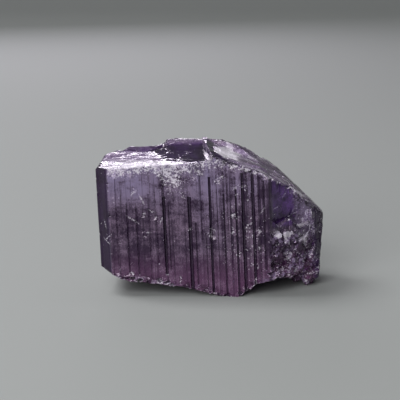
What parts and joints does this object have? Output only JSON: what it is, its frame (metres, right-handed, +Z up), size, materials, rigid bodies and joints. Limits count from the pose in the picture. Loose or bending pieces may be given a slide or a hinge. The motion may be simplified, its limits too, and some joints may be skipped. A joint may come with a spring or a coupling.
{
  "type": "scapolite crystal",
  "caption": "Stubby violet mineral prism with a broad striated face, a low stepped top, a broken right end and a small flat spot at its foot to stand on.",
  "frame": {"origin": "on the level of the flat spot at the foot, under the middle of the crystal's outline", "axes": "+Z up, about along the crystal's length axis, which leans a few degrees to -X. +X along the broad striated face to the broken end. +Y from the broad face to the back."},
  "size_m": [0.0422, 0.0186, 0.0265],
  "materials": {
    "crystal": "glassy faces, bruised and frosted along edges and breaks"
  },
  "bodies": {
    "root": {"scapolite_crystal": "crystal"}
  },
  "joints": []
}
